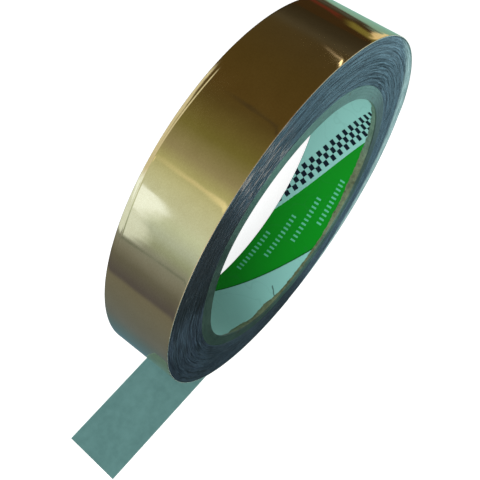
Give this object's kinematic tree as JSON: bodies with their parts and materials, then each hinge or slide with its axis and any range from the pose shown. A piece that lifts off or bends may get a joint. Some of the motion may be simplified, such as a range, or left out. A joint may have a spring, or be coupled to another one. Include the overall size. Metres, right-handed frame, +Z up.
{
  "type": "foil tape roll",
  "caption": "Roll of self-adhesive copper foil tape on a printed paper core, standing on its rim with a flat tail that lifts and a release liner that peels.",
  "frame": {"origin": "centre of the core's bore, halfway across the wound tape", "axes": "+Y along the roll's axis, +Z up; the tail leaves under the roll towards -X with its release liner facing up"},
  "size_m": [0.1374, 0.0272, 0.1038],
  "materials": {
    "core_print": "satin printed paper",
    "core_board": "raw paperboard",
    "wound_pack": "mirror-like copper outside, dull slate-coloured cut edges on the sides",
    "copper_foil": "mirror-like copper",
    "adhesive": "tacky gloss",
    "release_liner": "matt release paper"
  },
  "bodies": {
    "roll": {"bore_lining": "core_print", "core_board_ply_1": "core_board", "core_board_ply_2": "core_board", "core_board_ply_3": "core_board", "core_board_ply_4": "core_board", "wound_pack": "wound_pack", "last_turn_foil": "copper_foil", "last_turn_adhesive": "adhesive", "last_turn_liner": "release_liner", "under_roll_foil": "copper_foil", "under_roll_adhesive": "adhesive", "under_roll_liner": "release_liner"},
    "tail_1": {"tail_foil_1": "copper_foil", "tail_adhesive_1": "adhesive", "tail_liner_1": "release_liner"},
    "tail_2": {"tail_foil_2": "copper_foil", "tail_adhesive_2": "adhesive", "tail_liner_2": "release_liner"},
    "tail_3": {"tail_foil_3": "copper_foil", "tail_adhesive_3": "adhesive", "tail_liner_3": "release_liner"},
    "tail_4": {"tail_foil_4": "copper_foil", "tail_adhesive_4": "adhesive", "tail_liner_4": "release_liner"},
    "tail_5": {"tail_foil_5": "copper_foil", "tail_adhesive_5": "adhesive", "tail_liner_5": "release_liner"},
    "tail_6": {"tail_foil_6": "copper_foil", "tail_adhesive_6": "adhesive"},
    "liner_end": {"liner_end_flap": "release_liner"}
  },
  "joints": [
    {"name": "tail_bend_1", "type": "hinge", "parent": "roll", "child": "tail_1", "pos_m": [-0.00799, 0.00385, -0.05182], "axis": [0.0436, 0.999, 0], "range_deg": [0, 10]},
    {"name": "tail_bend_2", "type": "hinge", "parent": "tail_1", "child": "tail_2", "pos_m": [-0.02065, 0.0044, -0.05182], "axis": [0.0436, 0.999, 0], "range_deg": [0, 10]},
    {"name": "tail_bend_3", "type": "hinge", "parent": "tail_2", "child": "tail_3", "pos_m": [-0.0333, 0.00495, -0.05182], "axis": [0.0436, 0.999, 0], "range_deg": [0, 10]},
    {"name": "tail_bend_4", "type": "hinge", "parent": "tail_3", "child": "tail_4", "pos_m": [-0.04596, 0.00551, -0.05182], "axis": [0.0436, 0.999, 0], "range_deg": [0, 10]},
    {"name": "tail_bend_5", "type": "hinge", "parent": "tail_4", "child": "tail_5", "pos_m": [-0.05861, 0.00606, -0.05182], "axis": [0.0436, 0.999, 0], "range_deg": [0, 10]},
    {"name": "tail_bend_6", "type": "hinge", "parent": "tail_5", "child": "tail_6", "pos_m": [-0.07126, 0.00661, -0.05182], "axis": [0.0436, 0.999, 0], "range_deg": [0, 10]},
    {"name": "liner_peel", "type": "hinge", "parent": "tail_6", "child": "liner_end", "pos_m": [-0.07126, 0.00661, -0.05182], "axis": [0.0436, 0.999, 0], "range_deg": [0, 150]}
  ],
  "couplings": [
    {"joint": "tail_bend_2", "follows": "tail_bend_1", "ratio": 1},
    {"joint": "tail_bend_3", "follows": "tail_bend_1", "ratio": 1},
    {"joint": "tail_bend_4", "follows": "tail_bend_1", "ratio": 1},
    {"joint": "tail_bend_5", "follows": "tail_bend_1", "ratio": 1},
    {"joint": "tail_bend_6", "follows": "tail_bend_1", "ratio": 1}
  ]
}
